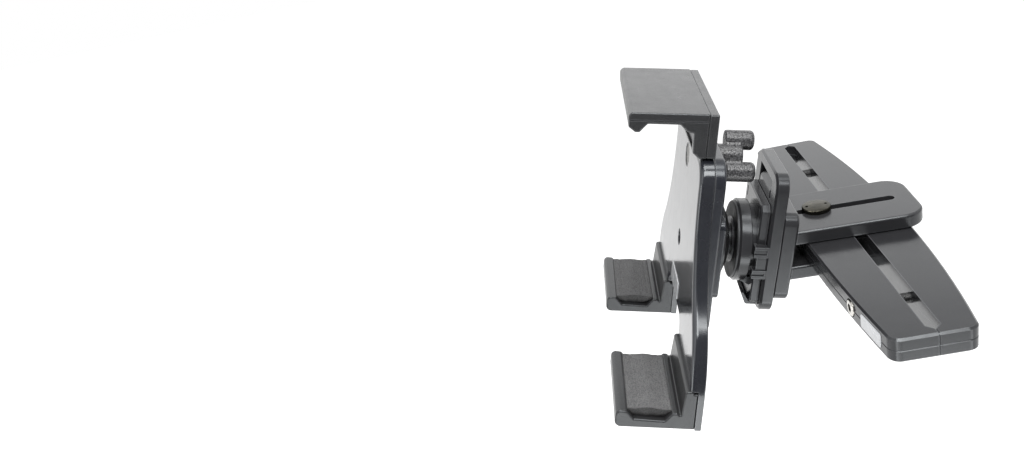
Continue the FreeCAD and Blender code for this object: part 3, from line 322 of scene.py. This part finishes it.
# Holder plates: a lacquered black front plate with rounded edges, satin plates behind it.
# The front shows a pale sheen when it is seen along its face.
PLATE_LACQUER = 0.3
PLATE_LACQUER_ROUGH = 0.12
plate_gloss = moulded("plate_gloss", dark=(0.014, 0.015, 0.019), light=(0.019, 0.020, 0.025),
                      smooth=0.14, dull=0.20, grain=900.0, depth=0.000004)
lacquer = plate_gloss.node_tree.nodes["Principled BSDF"]
lacquer.inputs["Coat Weight"].default_value = PLATE_LACQUER
lacquer.inputs["Coat Roughness"].default_value = PLATE_LACQUER_ROUGH
dress(plate_gloss, "front_plate")
plate_satin = moulded("plate_satin", dark=(0.013, 0.014, 0.019), light=(0.018, 0.019, 0.025),
                      smooth=0.20, dull=0.28, grain=1500.0, depth=0.000008)
dress(plate_satin, "back_plate", "rear_plate")

# Claw and feet: matt plastic with a fine even grain, hooked to hold the tablet's edges.
# The claw is screwed to a forked slide that runs between the plates.
grip_grain = moulded("grip_grain", dark=(0.021, 0.021, 0.022), light=(0.028, 0.028, 0.029),
                     smooth=0.27, dull=0.33, grain=1100.0, depth=0.00009)
dress(grip_grain, "top_claw", "claw_slide", "left_foot", "right_foot")

# Wing knob: pebbled black plastic with two lobes, on the bolt that clamps the slide.
# The pebble tops get a lighter colour as painted glints, for the small bright sparks of light the pebbles catch.
PEBBLE_DARK = (0.014, 0.014, 0.015)
PEBBLE_GLINT = (0.13, 0.13, 0.135)
PEBBLE_SCALE = 1300.0
PEBBLE_DEPTH = -0.00014
knob_pebble, tree, shader, where = new_finish("knob_pebble")
grit = tree.nodes.new("ShaderNodeTexVoronoi")
grit.feature = "SMOOTH_F1"
grit.inputs["Scale"].default_value = PEBBLE_SCALE
tree.links.new(where, grit.inputs["Vector"])
pebbles = grit.outputs["Distance"]
# Painted glints: the pebble tops get the lighter colour.
tree.links.new(tint(tree, pebbles, PEBBLE_GLINT, PEBBLE_DARK, 0.1, 0.7), shader.inputs["Base Color"])
tree.links.new(spread(tree, clouds(tree, where, 500.0), 0.20, 0.36), shader.inputs["Roughness"])
relief(tree, pebbles, PEBBLE_DEPTH, shader)
dress(knob_pebble, "wing_knob")

# Plain inserts on the plate and the bar: small pale plastic tiles under a clear domed skin.
# They carry nothing and only show a faint cloudiness.
INSERT_DARK = (0.60, 0.62, 0.64)
INSERT_LIGHT = (0.70, 0.71, 0.73)
insert_pale, tree, shader, where = new_finish("insert_pale")
tree.links.new(tint(tree, clouds(tree, where, 160.0), INSERT_DARK, INSERT_LIGHT), shader.inputs["Base Color"])
tree.links.new(spread(tree, clouds(tree, where, 420.0), 0.18, 0.30), shader.inputs["Roughness"])
shader.inputs["Coat Weight"].default_value = 0.6
shader.inputs["Coat Roughness"].default_value = 0.05
dress(insert_pale, "plate_badge", "bar_badge")

# Foam pads: strips of dark grey cell foam pressed into the feet's grooves.
# Cut by hand, so their ends wander, and the top swells a little between the groove's edges.
# The pad's sides and ends are coloured darker, more so toward the bottom, with a dark line along the top's long
# edges: partly the darker open cells of the cut foam, partly painted shade in the gaps against the groove's walls.
CELL_LIGHT = (0.180, 0.180, 0.182)
CELL_DARK = (0.100, 0.100, 0.101)
CELL_CUT_AND_SHADE = (0.022, 0.022, 0.022)
CELL_SCALE = 1500.0
CELL_DEPTH = -0.0003
PATCH_DEPTH = 0.0004
foam, tree, shader, where = new_finish("foam_grey")
cells = tree.nodes.new("ShaderNodeTexVoronoi")
cells.inputs["Scale"].default_value = CELL_SCALE
tree.links.new(where, cells.inputs["Vector"])
patch = clouds(tree, where, 120.0, 6.0, 0.7)
speck = tint(tree, cells.outputs["Distance"], CELL_LIGHT, CELL_DARK, 0.15, 0.8)
shade = tint(tree, patch, (0.85, 0.85, 0.85), (1.10, 1.10, 1.10))
skin = tree.nodes.new("ShaderNodeMix")
skin.data_type = "RGBA"
skin.blend_type = "MULTIPLY"
skin.inputs["Factor"].default_value = 1.0
tree.links.new(speck, skin.inputs["A"])
tree.links.new(shade, skin.inputs["B"])
# This mask darkens the sides: darker cut foam, and painted shade in the groove and its gaps.
cut_and_shade_mask = tree.nodes.new("ShaderNodeAttribute")
cut_and_shade_mask.attribute_name = "cut_and_shade"
foam_colour = painted_over(tree, skin.outputs["Result"], CELL_CUT_AND_SHADE, cut_and_shade_mask.outputs["Fac"])
tree.links.new(foam_colour, shader.inputs["Base Color"])
tree.links.new(spread(tree, patch, 0.86, 0.98), shader.inputs["Roughness"])
shader.inputs["Specular IOR Level"].default_value = 0.25
patch_bump = relief(tree, patch, PATCH_DEPTH, shader)
relief(tree, cells.outputs["Distance"], CELL_DEPTH, shader, 1.0, patch_bump)

MOUNT_SIDE = 0.025
MOUNT_RISE = 0.090
mounts = {m["name"]: m for m in frame["record"]["mounts"]}
back = -Vector(mounts["tablet_face"]["axis"])
rise = Vector(joints["claw_raise"]["axis"])
side = back.cross(rise)
corner = Vector(mounts["tablet_face"]["pos_m"]) - MOUNT_SIDE * side - MOUNT_RISE * rise
face = Matrix.Translation(corner) @ Matrix((side, back, rise)).transposed().to_4x4()

PAD_MIDDLE = 0.05935
PAD_LENGTH = 0.0513
PAD_FRONT = -0.03075
PAD_REAR = -0.0075
PAD_FRONT_SLOPE = 0.00385
PAD_REAR_SLOPE = 0.0041
PAD_FOOT = 0.0054
PAD_TOP = 0.0106
PAD_CUTS = (72, 64, 8)
PAD_SINK = 0.00045
PAD_SWELL = 0.00042
PAD_EDGE_DROP = 0.0007
PAD_CREASES = (-0.62, 0.74)
PAD_CREASE_DEPTH = 0.00022
PAD_CREASE_WIDTH = 0.035
PAD_WANDER = 0.0007
PAD_UNDERCUT = 0.0006
PAD_ROUGH = 0.00016
PAD_SHARP = math.radians(50)


def foam_pad(name, node, sign, seed):
    mesh = bmesh.new()
    bmesh.ops.create_cube(mesh, size=1.0)
    for axis, cuts in enumerate(PAD_CUTS):
        runs = [e for e in mesh.edges if abs(e.verts[0].co[axis] - e.verts[1].co[axis]) > 0.5]
        bmesh.ops.subdivide_edges(mesh, edges=runs, cuts=cuts, use_grid_fill=True)
    cut_and_shade = mesh.verts.layers.float.new("cut_and_shade")
    for v in mesh.verts:
        u, w, h = v.co.x * 2, v.co.y * 2, v.co.z + 0.5
        # Darker toward the bottom, along the long edges and at the ends: cut foam and painted shade by the groove
        # walls.
        v[cut_and_shade] = max((1 - h) * 0.9, 0.8 * abs(w) ** 40, 0.5 * abs(u) ** 90)
        front = PAD_FRONT + (1 - h) * PAD_FRONT_SLOPE
        rear = PAD_REAR - (1 - h) * PAD_REAR_SLOPE
        y = (front + rear) / 2 + w * (rear - front) / 2
        swell = PAD_SWELL * math.cos(w * 4.4) * (1 - 0.4 * abs(w)) - PAD_EDGE_DROP * abs(w) ** 24
        for place in PAD_CREASES:
            swell -= PAD_CREASE_DEPTH * math.exp(-((w - place) / PAD_CREASE_WIDTH) ** 2)
        wander = PAD_WANDER * noise.noise(Vector((seed, w * 2.2, h * 0.8))) - PAD_UNDERCUT * (1 - h)
        x = PAD_LENGTH / 2 * u + wander * u
        rough = PAD_ROUGH * noise.noise(Vector((u * 9 + seed, w * 5, 0.3)))
        z = PAD_FOOT + h * (PAD_TOP - PAD_FOOT + swell + rough - PAD_SINK)
        v.co = Vector((sign * (PAD_MIDDLE + x), y, z))
    bmesh.ops.recalc_face_normals(mesh, faces=mesh.faces)
    bmesh.ops.transform(mesh, matrix=face, verts=mesh.verts)
    for f in mesh.faces:
        f.smooth = True
    pad = new_piece(name, mesh, foam, "holder")
    pad.data.set_sharp_from_angle(angle=PAD_SHARP)
    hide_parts(node)


foam_pad("foam_right", "right_foot_pad", 1, 3.7)
foam_pad("foam_left", "left_foot_pad", -1, 8.1)

# Studio: a white paper floor well below the part, which hangs as on its headrest posts, in soft light.
# A grey sheet on the camera's side, seen only in reflections, gives the black plastic its darker faces: painted
# shade in the reflections, standing in for the darker room there.
# The camera stands at the holder's right-hand side and looks a little down on it, as the photographer did.
HANG = 0.55
FLOOR_HALF = 6.0
PAPER_GLOW = 0.88
ROOM_FILL = 0.22
SHADE_SHEET_SIZE = (1.62, 3.6, 1)
SHADE_SHEET_DISTANCE = 1.1
SHADE_SHEET_MIDDLE = 0.82


def seen_directly(tree):
    path = tree.nodes.new("ShaderNodeLightPath")
    seen = path.outputs["Is Camera Ray"]
    for ray in ("Is Glossy Ray", "Is Transmission Ray"):
        either = tree.nodes.new("ShaderNodeMath")
        either.operation = "MAXIMUM"
        tree.links.new(seen, either.inputs[0])
        tree.links.new(path.outputs[ray], either.inputs[1])
        seen = either.outputs[0]
    return seen


def studio_paper(name, scale, dark, light, rough, gloss):
    finish, tree, shader, where = new_finish(name)
    tree.links.new(tint(tree, clouds(tree, where, scale), dark, light), shader.inputs["Base Color"])
    shader.inputs["Roughness"].default_value = rough
    shader.inputs["Specular IOR Level"].default_value = gloss
    return finish, tree, shader


def studio_sheet(name, mesh, finish):
    data = bpy.data.meshes.new(name)
    mesh.to_mesh(data)
    mesh.free()
    data.materials.append(finish)
    sheet = bpy.data.objects.new(name, data)
    bpy.context.scene.collection.objects.link(sheet)
    return sheet


floor_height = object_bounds()[0].z - HANG
mesh = bmesh.new()
bmesh.ops.create_grid(mesh, x_segments=1, y_segments=1, size=FLOOR_HALF)
bmesh.ops.translate(mesh, vec=(0, 0, floor_height), verts=mesh.verts)
paper, tree, shader = studio_paper("floor_paper", 3.0, (0.86, 0.86, 0.86), (0.88, 0.88, 0.88), 0.9, 0.1)
lift = tree.nodes.new("ShaderNodeMath")
lift.operation = "MULTIPLY"
lift.inputs[1].default_value = PAPER_GLOW
tree.links.new(seen_directly(tree), lift.inputs[0])
shader.inputs["Emission Color"].default_value = (1, 1, 1, 1)
tree.links.new(lift.outputs[0], shader.inputs["Emission Strength"])
studio_sheet("floor", mesh, paper)

world = bpy.data.worlds.new("studio")
bpy.context.scene.world = world
world.use_nodes = True
tree = world.node_tree
sky = tree.nodes["Background"]
sky.inputs["Color"].default_value = (1, 1, 1, 1)
level = spread(tree, seen_directly(tree), ROOM_FILL, 1.0, 0.0, 1.0)
tree.links.new(level, sky.inputs["Strength"])

# Painted shade in reflections: a grey sheet hidden from the camera, from diffuse light and from shadows.
mesh = bmesh.new()
bmesh.ops.create_grid(mesh, x_segments=1, y_segments=1, size=0.5)
bmesh.ops.scale(mesh, vec=SHADE_SHEET_SIZE, verts=mesh.verts)
upright = Matrix.Rotation(math.radians(90), 3, "Y")
bmesh.ops.rotate(mesh, cent=(0, 0, 0), matrix=upright, verts=mesh.verts)
bmesh.ops.translate(mesh, vec=(SHADE_SHEET_DISTANCE, 0, floor_height + SHADE_SHEET_MIDDLE), verts=mesh.verts)
shade_grey, tree, shader = studio_paper("reflection_shade_grey", 9.0, (0.34, 0.34, 0.35), (0.42, 0.42, 0.43), 0.95, 0.05)
shade_sheet = studio_sheet("reflection_shade_sheet", mesh, shade_grey)
shade_sheet.visible_camera = False
shade_sheet.visible_diffuse = False
shade_sheet.visible_shadow = False


def softbox(name, place, aim, size, power):
    data = bpy.data.lights.new(name, "AREA")
    data.shape = "RECTANGLE"
    data.size, data.size_y = size
    data.energy = power
    lamp = bpy.data.objects.new(name, data)
    lamp.location = place
    lamp.rotation_euler = (Vector(aim) - Vector(place)).to_track_quat("-Z", "Y").to_euler()
    lamp.visible_camera = False
    bpy.context.scene.collection.objects.link(lamp)


softbox("top_light", place=(0.05, 0.05, 1.0), aim=(0, 0, 0), size=(0.55, 0.6), power=6.5)
softbox("key_light", place=(0.62, -0.02, 0.85), aim=(0, 0, 0), size=(0.75, 0.40), power=9.0)
softbox("edge_card", place=(0.2, -0.95, -0.15), aim=(0.03, -0.07, 0.0), size=(0.3, 0.5), power=1.4)
softbox("back_light", place=(-1.3, 0.1, 0.45), aim=(0, 0, 0.05), size=(2.0, 0.7), power=2.8)
softbox("front_light", place=(0.5, -1.0, 0.6), aim=(0, 0, 0), size=(0.8, 0.8), power=2.0)
softbox("low_card", place=(0.50, 0.0, -0.39), aim=(0.08, -0.05, 0), size=(0.8, 0.2), power=1.6)

EYE = (0.4664, -0.0706, 0.2889)
TURN = math.radians(93.1)
DIP = math.radians(25.54)
ROLL = math.radians(0.64)
SENSOR = 36.0
FOCUS_PIXELS = 894.0
PICTURE_WIDTH = 1024.0
look = Vector((-math.sin(TURN) * math.cos(DIP), math.cos(TURN) * math.cos(DIP), -math.sin(DIP)))
level_right = Vector((math.cos(TURN), math.sin(TURN), 0))
level_up = level_right.cross(look)
right = level_right * math.cos(ROLL) + level_up * math.sin(ROLL)
up = level_up * math.cos(ROLL) - level_right * math.sin(ROLL)
stance = Matrix((right, up, -look)).transposed().to_4x4()
lens = bpy.data.cameras.new("camera")
lens.sensor_width = SENSOR
lens.lens = SENSOR * FOCUS_PIXELS / PICTURE_WIDTH
lens.clip_start = 0.01
camera = bpy.data.objects.new("camera", lens)
camera.matrix_world = face @ Matrix.Translation(EYE) @ stance
bpy.context.scene.collection.objects.link(camera)
bpy.context.scene.camera = camera
bpy.context.scene.view_settings.view_transform = "Standard"
